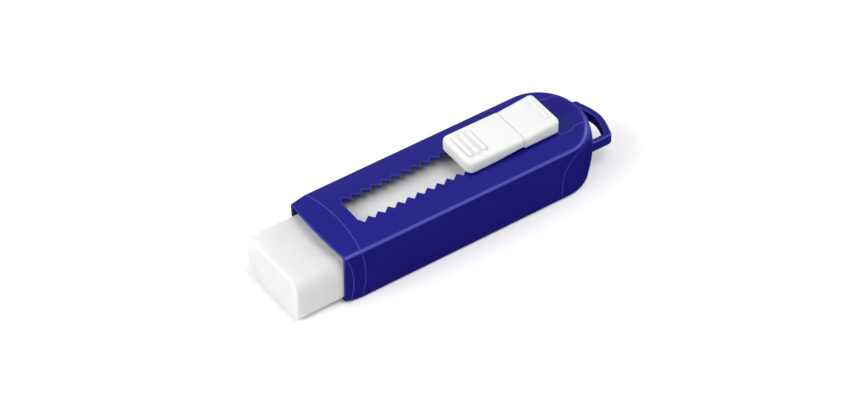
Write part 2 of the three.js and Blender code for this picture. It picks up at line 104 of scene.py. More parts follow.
CLICK_PITCH = 3.0
TOOTH_TIP = 3.85
TOOTH_ROOT = 5.25
SLOT_FRONT = 9.6
SLOT_CORNER = 0.2
FIRST_NOTCH = 10.7
NOTCH_COUNT = 20
TIP_AFTER_NOTCH = 1.8  # the rear flank of each notch is the longer one
SLOT_BOTTOM = 12.0  # below the roof, inside the hollow

CAP_SEAM = ((66.5, 4.5), (66.6, 10), (69, 13.9), (74.5, 14.4))  # the seam's curve up each side, in X and Z
CAP_FOOT = (66.7, -5.0)
CAP_TOP = 14.6
BEHIND = 100.0  # beyond the loop
TONGUE_FRONT = 70.2  # the cap's tongue closes the slot behind the thumb slide
TONGUE_WIDE = 7.0
TONGUE_NARROW = 6.2
TONGUE_JOG = (73.0, 73.9, 74.9)  # where its edge turns in, is half way in and is narrow
TONGUE_FLARE = (76.4, 78.5, 79.5, 82)  # and where it turns out again
TONGUE_END = 0.5  # wider than TONGUE_WIDE at the rear
TONGUE_BOTTOM = 13.5
THUMB_DISH = {"x": 71.6, "length": 9.6, "half_width": 7.4, "depth": 1.35, "fade": 4}

SLIDE_SEAM = 58.9
SLIDE_SEAM_GAP = 0.05
SLIDE_TOP = 20.65  # at the seam
SLIDE_SEAM_CORNER = 0.2
SLIDE_SEAM_EDGE = 0.12
SLAB_BOTTOM = 12.0  # lower than either half's foot, which is cut afterwards
BUTTON_FRONT = 41.6
BUTTON_RISE = 0.3  # from the seam to the front
BUTTON_CORNER = 1.9
BUTTON_FRONT_EDGE, BUTTON_SIDE_EDGE = 1.0, 1.1
BUTTON_FOOT, BUTTON_FOOT_REAR = 17.45, 18.2
BUTTON_FOOT_LEVEL = 5.0  # the foot is level for this length behind the lip
BUTTON_LIP, BUTTON_LIP_CLEARANCE = 3.2, 0.56
BUTTON_WALL = 1.5
BUTTON_ROOF = 1.25
BUTTON_HOLLOW_HALF_WIDTH = 5.5
REST_REAR = 70.1
REST_RISE = 0.95  # from the seam to the rear
REST_CORNER = 1.3
REST_SIDE_EDGE, REST_REAR_EDGE = 1.7, 1.2
REST_EDGE_DEPTH = 0.75  # the side edge reaches down by this share of its width
REST_FOOT = 17.4
BUTTON_RIBS = (44.0, 46.15, 48.35)
REST_RIB = 67.75
RIB_HALF_LENGTH = 4.25
RIB_HALF_WIDTH = 0.55
RIB_HEIGHT = 0.5
RIB_EDGE = 0.3
RIB_FOOT = 0.1  # its foot is wider by this share of its edge
GROOVE_DEPTH = 0.24
GROOVE_MARGIN = 0.25

BLOCK_NEAR, BLOCK_FAR = 3.0, 1.2  # the upper edge on the -Y side is more worn than the other
BLOCK_LOWER = 0.9
BLOCK_EDGE = 0.5
BLOCK_END_INSETS = (5.0, 0.8)  # the block's ends are closed by rings between these insets

LOOP_LOW, LOOP_HIGH = 6.0, 9.5
LOOP_HALF_WIDTH = 8.0
LOOP_ROOT = 76.2
LOOP_REACH = 87.9
LOOP_ARM, LOOP_BAR = 1.45, 1.8
LOOP_BOW = 1.6
LOOP_CORNER_OUTSIDE, LOOP_CORNER_INSIDE = 1.6, 0.9
LOOP_EDGE = 0.6

FAR = 60.0  # beyond the object on every side
BESIDE = 30.0  # beyond the sleeve's sides and top
AHEAD_OF_MOUTH, BEHIND_COLLAR, BEHIND_LOOP = -30.0, 40.0, 120.0

# ---- How finely the surfaces are divided, and the least sizes that keep them closed ----

WALL_SHARES = np.linspace(0.1, 0.88, 17)  # heights of the sleeve's rings between its rounded edges
TOP_INSETS = np.arange(REAR_FILLET + 0.2, 11.6, 0.45)  # its rings on the top, from edge to middle
BODY_PLACES = np.linspace(8.5, REAR_START - 1.0, 48)  # its points along each side behind the collar
REAR_ANGLES = np.linspace(-math.pi / 2, math.pi / 2, 121)
AFTER_CREASE, AFTER_SEAM = 0.3, 0.4  # from the crease and from the collar's seam to the next points
SECTION_SIDE_POINTS = 40
SLAB_TOP_INSETS = (0.15, 0.6, 2.0, 3.5)  # rings that close the top of the thumb rest and button
SLAB_LEAST_CORNER = 0.1
RIB_ROOT = 2.2  # a rib reaches this many of its heights down from its top
NEARLY_ROUND = 0.98  # an end's radius as a share of its half width
BLOCK_LEAST_CORNER = 0.05
LEAST_RADIUS = 0.08
WELD = 0.0005
SHARP_ANGLE = 28  # degrees; edges sharper than this stay sharp

# ---- Looks, in metres and Blender's units ----

# radius of the painted highlight, which also stands for wear, along sharp edges
EDGE_HIGHLIGHT_RADIUS = 0.00022
EDGE_SOFTNESS = 0.00012
STEEL_EDGE_SOFTNESS = 0.00006
WORLD_LIGHT = 0.53
FLOOR_SIZE = 3.0
FLOOR_DEPTH = 0.02
CAMERA = {"azimuth": -35.03, "elevation": 43.47, "distance": 0.991, "lens": 163.26}
CAMERA_AIM = (-0.00645, 0.00032, 0.00574)
LIGHTS = {
    "overhead": {"towards": (0.12, -0.3, 0.94), "distance": 0.7, "size": 0.4, "radiance": 4.4},
    "front_key": {"towards": (-0.8, 0.1, 0.58), "distance": 0.55, "size": 0.4, "radiance": 4.2},
    "right_rim": {"towards": (0.9, 0.0, 0.43), "distance": 0.8, "size": 0.4, "radiance": 4.0},
}


# ---- Mesh helpers ----


def make_object(name, points, faces):
    mesh = bpy.data.meshes.new(name)
    mesh.from_pydata([tuple(map(float, p)) for p in points], [], [tuple(map(int, f)) for f in faces])
    mesh.validate()
    made = bpy.data.objects.new(name, mesh)
    bpy.context.scene.collection.objects.link(made)
    face_outwards(made)
    return made


def face_outwards(made):
    shape = bmesh.new()
    shape.from_mesh(made.data)
    if shape.calc_volume(signed=True) < 0:
        bmesh.ops.reverse_faces(shape, faces=shape.faces)
    shape.to_mesh(made.data)
    shape.free()


def side_faces(rings):
    """The faces between rings of the same number of points."""
    count = len(rings[0])
    faces = []
    for level in range(len(rings) - 1):
        start = level * count
        for i in range(count):
            j = (i + 1) % count
            faces.append((start + i, start + j, start + j + count, start + i + count))
    return faces


def mirrored_stack(name, rings):
    """A closed solid through rings that are their own mirror image, closed by strips from side to side."""
    count = len(rings[0])
    faces = side_faces(rings)
    top = (len(rings) - 1) * count
    for i in range(count // 2 - 1 + count % 2):
        j = count - 1 - i
        strip = (i, j, j - 1, i + 1) if j - 1 > i + 1 else (i, j, i + 1)
        faces.append(strip)
        faces.append(tuple(top + corner for corner in reversed(strip)))
    return make_object(name, np.concatenate(rings), faces)


def stack(name, rings):
    """A closed solid through rings of the same number of points, closed by a fan at each end."""
    count = len(rings[0])
    points = np.concatenate(rings)
    faces = side_faces(rings)
    ends = np.array([rings[0].mean(axis=0), rings[-1].mean(axis=0)])
    first, last = len(points), len(points) + 1
    top = (len(rings) - 1) * count
    for i in range(count):
        j = (i + 1) % count
        faces.append((first, j, i))
        faces.append((last, top + i, top + j))
    return make_object(name, np.concatenate([points, ends]), faces)


def prism(name, outline, low, high, place):
    """An outline carried from low to high; place turns its two numbers and the level into a point."""
    rings = [np.array([place(a, b, level) for a, b in outline], float) for level in (low, high)]
    count = len(outline)
    faces = [tuple(range(count)), tuple(reversed(range(count, 2 * count)))]
    for i in range(count):
        j = (i + 1) % count
        faces.append((i, i + count, j + count, j))
    return make_object(name, np.concatenate(rings), faces)


def combine(target, other, operation):
    """Joins or cuts the target with the other solid, which is then deleted."""
    modifier = target.modifiers.new(operation.lower(), "BOOLEAN")
    modifier.operation = operation
    modifier.solver = "MANIFOLD"
    modifier.object = other
    graph = bpy.context.evaluated_depsgraph_get()
    result = bpy.data.meshes.new_from_object(target.evaluated_get(graph))
    target.modifiers.clear()
    target.data = result
    bpy.data.objects.remove(other)
    return target


def cut(target, *cutters):
    for cutter in cutters:
        combine(target, cutter, "DIFFERENCE")
    return target


def join(target, *others):
    for other in others:
        combine(target, other, "UNION")
    return target


def common(target, *others):
    for other in others:
        combine(target, other, "INTERSECT")
    return target


def arc(steps):
    """Shares of a rounded edge: (how far in, how far below), from the side to the face above."""
    angles = np.linspace(0, math.pi / 2, steps + 1)
    return [(1 - math.cos(a), 1 - math.sin(a)) for a in angles]


def round_corners(corners, count):
    """Points round quarter circles, each given by its centre, its radius and the angle it starts from."""
    points = []
    for a, b, radius, first in corners:
        for angle in np.radians(np.linspace(first, first + 90, count)):
            points.append((a + radius * math.cos(angle), b + radius * math.sin(angle)))
    return np.array(points)


def bezier(a, b, c, d, steps):
    t = np.linspace(0, 1, steps + 1)[:, None]
    a, b, c, d = (np.array(p, float) for p in (a, b, c, d))
    return (1 - t) ** 3 * a + 3 * (1 - t) ** 2 * t * b + 3 * (1 - t) * t**2 * c + t**3 * d


# ---- The sleeve's form ----


def collar_seam(y, z):
    across = 1 - np.clip(np.abs(y) / HALF_WIDTH, 0, 1) ** 2
    up = 1 - np.clip(np.abs(z - CROWN_START) / CROWN_START, 0, 1) ** 2
    return COLLAR_LENGTH + COLLAR_BOW * (across + up)


def grip_crease(z):
    """How far behind the mouth the crease lies at a height, and how strong it is there."""
    share = np.clip(1 - ((z - GRIP_HEIGHT) / GRIP_REACH) ** 2, GRIP_LEAST, None)
    return GRIP_CREASE * share, share


def shape_points(points, taper_by):
    """Moves points of the plain form, measured from the mouth, onto the crowned and tapered one."""
    x, y, z = points.T
    rise = np.clip((z - CROWN_START) / (EDGE_HEIGHT - CROWN_START), 0, None)
    crown = CROWN * (1 - (y / HALF_WIDTH) ** 2) * rise
    fall = REAR_FALL * np.clip(x / REAR_START, 0, 1) * z / EDGE_HEIGHT
    taper = taper_by * np.clip(1 - x / collar_seam(y, z), 0, None)
    crease, share = grip_crease(z)
    inset = 0.0
    if taper_by:
        step = GRIP_STEP * np.clip((crease - x) / GRIP_STEP_LENGTH, 0, 1)
        turned_in = GRIP_INSET * share * np.clip(1 - x / crease, 0, 1)
        inset = np.sqrt(share) * (step + turned_in - GRIP_TAPER_SHARE * taper * share)
    narrowed = y * (1 - (taper + inset) / HALF_WIDTH)
    dish_x = (x - THUMB_DISH["x"]) / THUMB_DISH["length"]
    dish_y = y / THUMB_DISH["half_width"]
    from_middle = np.clip(np.hypot(dish_x, dish_y), 0, 1)
    hollow = 0.5 + 0.5 * np.cos(math.pi * from_middle)
    dish = THUMB_DISH["depth"] * hollow * np.clip(rise, 0, 1) ** THUMB_DISH["fade"]
    raised = z + crown - fall + taper * (1 - 2 * z / EDGE_HEIGHT) - dish
    return np.stack([x + MOUTH, narrowed, raised], axis=1)


def sleeve_form(name, side=0.0, roof=0.0, floor=0.0, rear=0.0, start=-2.0, lift=0.0, taper=COLLAR_TAPER):
    """The sleeve's form as U-shaped rings stacked from the underside to the middle of the top."""
    top = EDGE_HEIGHT - roof
    levels = [(BOTTOM_FILLET * inward, floor + BOTTOM_FILLET * below) for inward, below in reversed(arc(7))]
    levels += [(0.0, floor + (top - floor) * share) for share in WALL_SHARES]
    levels += [(TOP_FILLET * inward, top - TOP_FILLET * below) for inward, below in arc(8)]
    levels += [(inset, top) for inset in TOP_INSETS]
    widening = 1 + (REAR_FILLET / TOP_FILLET - 1) * np.cos(REAR_ANGLES) ** 2
    rings = []
    for inset, z in levels:
        half = HALF_WIDTH - side - inset
        share = min(1.0, max(0.0, z / EDGE_HEIGHT))
        bulge = REAR_BULGE * math.sin(math.pi * share) + REAR_TOE * (1 - share)
        in_fillet = inset < REAR_FILLET and z > top - TOP_FILLET - 0.01
        wider = widening if in_fillet else np.ones(len(REAR_ANGLES))
        depth = REAR_DEPTH + bulge - rear - inset * wider
        seam = float(collar_seam(np.array(half), np.array(z)))
        crease = float(grip_crease(np.array(z))[0])
        grip = np.linspace(0, crease - GRIP_STEP_LENGTH, 5)
        collar = np.linspace(crease + AFTER_CREASE, seam, 6)
        straight = np.concatenate([[start], grip, [crease], collar, [seam + AFTER_SEAM], BODY_PLACES])
        right = np.column_stack([straight, np.full(len(straight), -half), np.full(len(straight), z)])
        left = right[::-1] * [1, -1, 1]
        end_half = half - inset * (wider - 1)
        end_z = top - (top - z) * wider
        end_x = REAR_START + depth * np.cos(REAR_ANGLES)
        end = np.stack([end_x, end_half * np.sin(REAR_ANGLES), end_z], axis=1)
        ring = np.concatenate([right, end, left])
        rings.append(shape_points(ring, taper) + [0, 0, lift])
    return mirrored_stack(name, rings)


def section(depth):
    """The sleeve's plain section at a depth below its skin, as points in Y and Z."""
    half = HALF_WIDTH - depth
    low, high = depth, EDGE_HEIGHT - depth
    lower = max(BOTTOM_FILLET - depth, LEAST_RADIUS)
    upper = max(TOP_FILLET - depth, LEAST_RADIUS)
    corners = [
        (half - lower, low + lower, lower, -90),
        (half - upper, high - upper, upper, 0),
        (-half + upper, high - upper, upper, 90),
        (-half + lower, low + lower, lower, 180),
    ]
    bends = [round_corners([corner], 9) for corner in corners]
    shares = np.linspace(0, 1, SECTION_SIDE_POINTS + 2)[1:-1, None]
    points = []
    for bend, following in zip(bends, bends[1:] + bends[:1]):
        start, end = bend[-1], following[0]
        points += [bend, start + (end - start) * shares]
    return np.concatenate(points)


def curtain(name, face, steps, far):
    """A solid from X = far to the curved face x = face(y, z), whose edge has steps of (depth, along)."""
    outside, inside = -3.0, 5.0
    rings = []
    for depth, along in [(outside, None), (outside, steps[0][1]), *steps, (inside, steps[-1][1])]:
        yz = section(depth)
        x = np.full(len(yz), far) if along is None else face(yz[:, 0], yz[:, 1]) + along
        points = np.column_stack([x, yz])
        rings.append(shape_points(points, 0.0 if along is None else COLLAR_TAPER))
    return stack(name, rings)


def mouth_face(y, z):
    """The mouth is square at the sides and the underside, and the roof's front edge bows forward."""
    across = np.clip(1 - (y / HALF_WIDTH) ** 2, 0, None)
    return -MOUTH_BOW * across * np.clip((z - MOUTH_BOW_START) / MOUTH_BOW_RISE, 0, 1)


def shell_form(name):
    return sleeve_form(name, SIDE_WALL, ROOF_WALL, FLOOR_WALL, REAR_WALL, start=-6.0, taper=0.0)


def shell_blank(name):
    return cut(sleeve_form(name), shell_form("hollow"))


def cap_region(margin):
    """What lies behind the rear cap's seam: a curved lower part and the tongue that closes the slot."""
    curve = bezier(*CAP_SEAM, 40)
    outline = [CAP_FOOT, *map(tuple, curve), (BEHIND, CAP_TOP), (BEHIND, CAP_FOOT[1])]
    outline = [(x - margin, z + margin) for x, z in outline]
    behind = prism("behind", outline, -BESIDE, BESIDE, lambda x, z, y: (x + MOUTH, y, z))
    wide, narrow = TONGUE_WIDE + margin, TONGUE_NARROW + margin
    start, middle, end = TONGUE_JOG
    jog = bezier((start, wide), (middle, wide), (middle, narrow), (end, narrow), 10)
    start, leaving, nearing, end = TONGUE_FLARE
    flare = bezier((start, narrow), (leaving, narrow), (nearing, wide), (end, wide + TONGUE_END), 10)
    half = [(TONGUE_FRONT - margin, wide), *map(tuple, jog), *map(tuple, flare), (BEHIND, wide + TONGUE_END)]
    outline = half + [(x, -y) for x, y in reversed(half)]
    tongue = prism("tongue", outline, TONGUE_BOTTOM, BESIDE, lambda x, y, z: (x + MOUTH, y, z))
    return join(behind, tongue)


# ---- Sleeve, collar and rear cap ----


def slot_outline():
    upper = [(SLOT_FRONT, TOOTH_TIP - SLOT_CORNER), (SLOT_FRONT + SLOT_CORNER, TOOTH_TIP)]
    for i in range(NOTCH_COUNT):
        notch = FIRST_NOTCH + i * CLICK_PITCH
        upper.append((notch, TOOTH_ROOT))
        upper.append((notch + TIP_AFTER_NOTCH, TOOTH_TIP))
    upper.append((TONGUE_FRONT + 1, TOOTH_TIP))
    lower = [(x, -y) for x, y in upper]
    return np.array(lower + upper[::-1])


def slot_cutter():
    return prism("slot", slot_outline(), SLOT_BOTTOM, FAR, lambda x, y, z: (x + MOUTH, y, z))


def make_collar():
    collar = shell_blank("mouth_collar")
    outer = [(0.0, LIP_CHAMFER), (LIP_CHAMFER, 0.0)]
    inner = [(LIP_WALL - LIP_INNER_ROUND * below, LIP_INNER_ROUND * inward) for inward, below in arc(4)]
    common(collar, curtain("mouth", mouth_face, outer + inner, BEHIND_COLLAR))
    common(collar, curtain("seam", collar_seam, [(0.0, -SEAM_GAP / 2)], AHEAD_OF_MOUTH))
    return collar


def make_sleeve():
    sleeve = shell_blank("sleeve")
    common(sleeve, curtain("seam", collar_seam, [(0.0, SEAM_GAP / 2)], BEHIND_LOOP))
    cut(sleeve, slot_cutter(), cap_region(SEAM_GAP / 2))
    return sleeve


def loop_side(half, reach, corner):
    """One side of the loop's outline, from its root round a corner to the middle of the bowed bar."""
    shoulder = reach - LOOP_BOW
    points = [(x, -half) for x in np.linspace(LOOP_ROOT, shoulder - corner, 12)]
    turned = (shoulder + 0.05, -half + corner)
    turn = bezier(points[-1], (shoulder - corner / 3, -half), (shoulder, -half + corner / 3), turned, 8)
    bar = bezier(turned, (shoulder + 0.9, -half * 0.55), (reach, -half * 0.25), (reach, 0), 14)
    return np.concatenate([points, turn[1:], bar[1:]])


def loop_rings():
    """Sections of the hanging loop, from one root round the bar to the other."""
    outer = loop_side(LOOP_HALF_WIDTH, LOOP_REACH, LOOP_CORNER_OUTSIDE)
    inner = loop_side(LOOP_HALF_WIDTH - LOOP_ARM, LOOP_REACH - LOOP_BAR, LOOP_CORNER_INSIDE)
    outer = np.concatenate([outer, outer[-2::-1] * [1, -1]])
    inner = np.concatenate([inner, inner[-2::-1] * [1, -1]])
    middle_z, half_z = (LOOP_LOW + LOOP_HIGH) / 2, (LOOP_HIGH - LOOP_LOW) / 2
    rings = []
    for o, i in zip(outer, inner):
        middle, reach_out = (o + i) / 2, (o - i) / 2
        half = np.linalg.norm(reach_out)
        direction = reach_out / half
        ring = []
        for index, (side, up) in enumerate([(1, -1), (1, 1), (-1, 1), (-1, -1)]):
            for angle in np.radians(np.linspace(-90, 0, 7) + 90 * index):
                across = side * (half - LOOP_EDGE) + LOOP_EDGE * math.cos(angle)
                z = middle_z + up * (half_z - LOOP_EDGE) + LOOP_EDGE * math.sin(angle)
                ring.append((*(middle + direction * across), z))
        rings.append(np.array(ring) + [MOUTH, 0, 0])
    return rings


def box(name, xs, ys, zs):
    outline = [(xs[0], ys[0]), (xs[1], ys[0]), (xs[1], ys[1]), (xs[0], ys[1])]
    return prism(name, outline, zs[0], zs[1], lambda x, y, z: (x, y, z))


def make_cap():
    cap = shell_blank("end_cap")
    common(cap, cap_region(-SEAM_GAP / 2))
    loop = cut(stack("loop", loop_rings()), shell_form("hollow"))
    return join(cap, loop)


# ---- Thumb slide and button ----


def plan(x0, x1, half, corners, count=9):
    """A rectangle in plan with a radius of its own at the front and at the rear."""
    front, rear = corners
    rounded = [
        (x1 - rear, half - rear, rear, 0),
        (x0 + front, half - front, front, 90),
        (x0 + front, -half + front, front, 180),
        (x1 - rear, -half + rear, rear, 270),
    ]
    return round_corners(rounded, count)



def slide_top(x):
    """The height of the thumb rest and button: a shallow hollow whose lowest line is the seam."""
    x = x - MOUTH
    to_front = np.clip((SLIDE_SEAM - x) / (SLIDE_SEAM - BUTTON_FRONT), 0, 1)
    to_rear = np.clip((x - SLIDE_SEAM) / (REST_REAR - SLIDE_SEAM), 0, 1)
    return SLIDE_TOP + BUTTON_RISE * to_front + REST_RISE * to_rear


def slab(name, x0, x1, half, corners, edges, edge_depth=1.0):
    """A block under the sloping top, with rounded upright corners and top edges; edges are insets at
    the front, the sides and the rear."""
    front_edge, side_edge, rear_edge = edges
    rings = []
    for inward, below in [(0, None), *arc(8)]:
        front_radius = max(SLAB_LEAST_CORNER, corners[0] - front_edge * inward)
        rear_radius = max(SLAB_LEAST_CORNER, corners[1] - rear_edge * inward)
        radii = (front_radius, rear_radius)
        outline = plan(x0 + front_edge * inward, x1 - rear_edge * inward, half - side_edge * inward, radii)
        top = slide_top(outline[:, 0])
        z = np.full(len(outline), SLAB_BOTTOM) if below is None else top - side_edge * edge_depth * below
        rings.append(np.column_stack([outline, z]))
    square = (SLAB_LEAST_CORNER, SLAB_LEAST_CORNER)
    for inset in SLAB_TOP_INSETS:
        outline = plan(x0 + front_edge + inset, x1 - rear_edge - inset, half - side_edge - inset, square)
        rings.append(np.column_stack([outline, slide_top(outline[:, 0])]))
    return stack(name, rings)


def rib(x):
    """A rounded ridge across the slide, standing on the sloping top."""
    top = float(slide_top(np.array(x)))
    rings = []
    for inward, below in [(-RIB_FOOT, RIB_ROOT), (-RIB_FOOT, 1.0), *arc(5)]:
        inset = RIB_EDGE * inward
        half = RIB_HALF_WIDTH - inset
        radius = half * NEARLY_ROUND
        outline = plan(x - half, x + half, RIB_HALF_LENGTH - inset, (radius, radius), 10)
        rings.append(np.column_stack([outline, np.full(len(outline), top + RIB_HEIGHT * (1 - below))]))
    return stack("rib", rings)


def groove(first, last):
    """A shallow recess in the slide's top round the ribs from first to last."""
    margin = RIB_HALF_WIDTH + GROOVE_MARGIN
    radius = margin * NEARLY_ROUND
    outline = plan(first - margin, last + margin, RIB_HALF_LENGTH + GROOVE_MARGIN, (radius, radius), 10)
    top = slide_top(outline[:, 0])
    rings = [np.column_stack([outline, top + z]) for z in (-GROOVE_DEPTH, 3.0)]
    return stack("groove", rings)


def make_slide():
    front, rear = MOUTH + SLIDE_SEAM + SLIDE_SEAM_GAP, MOUTH + REST_REAR
    corners = (SLIDE_SEAM_CORNER, REST_CORNER)
    edges = (SLIDE_SEAM_EDGE, REST_SIDE_EDGE, REST_REAR_EDGE)
    slide = slab("slide_rear", front, rear, slide_half_width, corners, edges, REST_EDGE_DEPTH)
    cut(slide, box("under", (-FAR, FAR), (-FAR, FAR), (0, REST_FOOT)))
    return join(slide, rib(MOUTH + REST_RIB))


def under_button():
    """What is cut away under the button: its lip follows the roof, and its sides slope up to the rear."""
    lip_rear = BUTTON_FRONT + BUTTON_LIP
    level = lip_rear + BUTTON_FOOT_LEVEL
    beyond = SLIDE_SEAM + 1
    foot = [(beyond, BUTTON_FOOT_REAR), (level, BUTTON_FOOT), (lip_rear, BUTTON_FOOT)]
    outline = [(lip_rear, 0), (beyond, 0), *foot]
    sides = prism("sides", outline, -FAR, FAR, lambda x, z, y: (x + MOUTH, y, z))
    return join(sleeve_form("over_roof", lift=BUTTON_LIP_CLEARANCE), sides)


def make_button():
    front, rear = MOUTH + BUTTON_FRONT, MOUTH + SLIDE_SEAM - SLIDE_SEAM_GAP
    corners = (BUTTON_CORNER, SLIDE_SEAM_CORNER)
    edges = (BUTTON_FRONT_EDGE, BUTTON_SIDE_EDGE, SLIDE_SEAM_EDGE)
    button = slab("slide_button", front, rear, button_half_width, corners, edges)
    cut(button, under_button())
    inside = (front + BUTTON_WALL, rear - BUTTON_WALL)
    across = (-BUTTON_HOLLOW_HALF_WIDTH, BUTTON_HOLLOW_HALF_WIDTH)
    cut(button, box("hollow", inside, across, (0, SLIDE_TOP - BUTTON_ROOF)))
    ribs = [MOUTH + x for x in BUTTON_RIBS]
    cut(button, groove(ribs[0], ribs[-1]))
    return join(button, *[rib(x) for x in ribs])


# ---- Eraser block ----


def block_section(inset):
    """The block's section in Y and Z, shrunk by an inset: worn upper corners, nearly sharp lower ones."""
    low, high = block_low[2] + inset, block_high[2] - inset
    half = block_high[1] - inset
    room = (high - low) / 2
    radii = [
        max(BLOCK_LEAST_CORNER, min(radius - inset * 0.5, room * NEARLY_ROUND))
        for radius in (BLOCK_NEAR, BLOCK_FAR, BLOCK_LOWER)
    ]
    near, far, lower = radii
    rounded = [
        (half - lower, low + lower, lower, -90),
        (half - far, high - far, far, 0),
        (near - half, high - near, near, 90),
        (lower - half, low + lower, lower, 180),
    ]
    return round_corners(rounded, 13)


def make_block():
    front, rear = block_low[0], block_high[0]
    rounding = [(BLOCK_EDGE * below, BLOCK_EDGE * inward) for inward, below in reversed(arc(6))]
    profile = [(front, inset) for inset in np.linspace(*BLOCK_END_INSETS, 8)]
    profile += [(front + along, inset) for inset, along in reversed(rounding)]
    profile += [(x, 0.0) for x in np.linspace(front + 1.0, rear - 1.0, 70)]
    profile += [(rear - along, inset) for inset, along in rounding]
    profile += [(rear, inset) for inset in np.linspace(*BLOCK_END_INSETS[::-1], 8)]
    rings = []
    for x, inset in profile:
        yz = block_section(inset)
        rings.append(np.column_stack([np.full(len(yz), x), yz]))
    return stack("rubber_block", rings)


# ---- Materials ----


def new_material(name, colour, roughness):
    material = bpy.data.materials.new(name)
    material.use_nodes = True
    shader = material.node_tree.nodes["Principled BSDF"]
    shader.inputs["Base Color"].default_value = (*colour, 1)
    shader.inputs["Roughness"].default_value = roughness
    return material, shader


def add_node(material, kind, **values):
    node = material.node_tree.nodes.new(kind)
    for name, value in values.items():
        if hasattr(node, name):
            setattr(node, name, value)
        else:
            node.inputs[name.replace("_", " ")].default_value = value
    return node


def noise(material, scale, detail=3.0):
    where = add_node(material, "ShaderNodeTexCoord")
    pattern = add_node(material, "ShaderNodeTexNoise", Scale=scale, Detail=detail)
    material.node_tree.links.new(where.outputs["Object"], pattern.inputs["Vector"])
    return pattern.outputs["Fac"]


def vary(material, shader, socket, pattern, low, high):
    spread = add_node(material, "ShaderNodeMapRange")
    spread.inputs["From Min"].default_value = 0.3
    spread.inputs["From Max"].default_value = 0.7
    spread.inputs["To Min"].default_value = low
    spread.inputs["To Max"].default_value = high
    material.node_tree.links.new(pattern, spread.inputs["Value"])
    material.node_tree.links.new(spread.outputs["Result"], shader.inputs[socket])


def tint(material, shader, pattern, first, second):
    ramp = add_node(material, "ShaderNodeValToRGB")
    ramp.color_ramp.elements[0].position = 0.35
    ramp.color_ramp.elements[1].position = 0.65
    ramp.color_ramp.elements[0].color = (*first, 1)
    ramp.color_ramp.elements[1].color = (*second, 1)
    material.node_tree.links.new(pattern, ramp.inputs["Fac"])
    material.node_tree.links.new(ramp.outputs["Color"], shader.inputs["Base Color"])


def paint_edge_highlights_and_wear(material, shader, radius, worn, shoulder_highlight):
    """Mixes in a paler colour along sharp edges within the radius, a painted highlight that also stands for
    wear, and by a share on rounded upper edges, a painted highlight where they face up.
    """
    links = material.node_tree.links
    rounded = add_node(material, "ShaderNodeBevel", samples=8)
    rounded.inputs["Radius"].default_value = radius
    surface = add_node(material, "ShaderNodeNewGeometry")
    likeness = add_node(material, "ShaderNodeVectorMath", operation="DOT_PRODUCT")
    links.new(rounded.outputs["Normal"], likeness.inputs[0])
    links.new(surface.outputs["Normal"], likeness.inputs[1])
    # sharp edges, where the rounded normal differs from the surface's, get the painted highlight colour
    edge_highlight_mask = add_node(material, "ShaderNodeMapRange")
    edge_highlight_mask.inputs["From Min"].default_value = 0.995
    edge_highlight_mask.inputs["From Max"].default_value = 0.86
    links.new(likeness.outputs["Value"], edge_highlight_mask.inputs["Value"])
    # painted highlight on rounded upper edges: faces tilted between upright and level get a share of the
    # paler colour
    tilt = add_node(material, "ShaderNodeSeparateXYZ")
    links.new(surface.outputs["Normal"], tilt.inputs["Vector"])
    shoulder = add_node(material, "ShaderNodeValToRGB")
    ramp = shoulder.color_ramp
    ramp.elements[0].position, ramp.elements[0].color = 0.1, (0, 0, 0, 1)
    ramp.elements[1].position, ramp.elements[1].color = 0.93, (0, 0, 0, 1)
    for position in (0.4, 0.78):
        ramp.elements.new(position).color = (shoulder_highlight, shoulder_highlight, shoulder_highlight, 1)
    links.new(tilt.outputs["Z"], shoulder.inputs["Fac"])
    either = add_node(material, "ShaderNodeMath", operation="MAXIMUM")
    links.new(edge_highlight_mask.outputs["Result"], either.inputs[0])
    links.new(shoulder.outputs["Color"], either.inputs[1])
    # the paler colour is a painted edge highlight that also stands for wear
    mix = add_node(material, "ShaderNodeMix", data_type="RGBA")
    mix.inputs[7].default_value = (*worn, 1)
    plain = shader.inputs["Base Color"].links[0].from_socket
    links.new(either.outputs["Value"], mix.inputs[0])
    links.new(plain, mix.inputs[6])
    links.new(mix.outputs[2], shader.inputs["Base Color"])


def roughen(material, shader, pattern, strength, distance, edge_radius):
    """A fine bump over softly rounded edges."""
    links = material.node_tree.links
    edge = add_node(material, "ShaderNodeBevel", samples=6)
    edge.inputs["Radius"].default_value = edge_radius
    bump = add_node(material, "ShaderNodeBump")
    bump.inputs["Strength"].default_value = strength
    bump.inputs["Distance"].default_value = distance
    links.new(pattern, bump.inputs["Height"])
    links.new(edge.outputs["Normal"], bump.inputs["Normal"])
    links.new(bump.outputs["Normal"], shader.inputs["Normal"])


def moulded_plastic(name, colour, other, roughness, worn, grain=0.08, glow=0.0, shoulder_highlight=0.0):
    material, shader = new_material(name, colour, roughness)
    shader.inputs["Specular IOR Level"].default_value = 0.33
    shader.inputs["Subsurface Weight"].default_value = glow
    shader.inputs["Subsurface Radius"].default_value = (1.0, 0.95, 0.9)
    shader.inputs["Subsurface Scale"].default_value = 0.0015
    tint(material, shader, noise(material, 60.0), colour, other)
    # paler edges: painted highlights, which on sharp edges also stand for wear
    paint_edge_highlights_and_wear(material, shader, EDGE_HIGHLIGHT_RADIUS, worn, shoulder_highlight)
    vary(material, shader, "Roughness", noise(material, 900.0), roughness - 0.04, roughness + 0.05)
    roughen(material, shader, noise(material, 5200.0, 2.0), grain, 0.00004, EDGE_SOFTNESS)
    return material


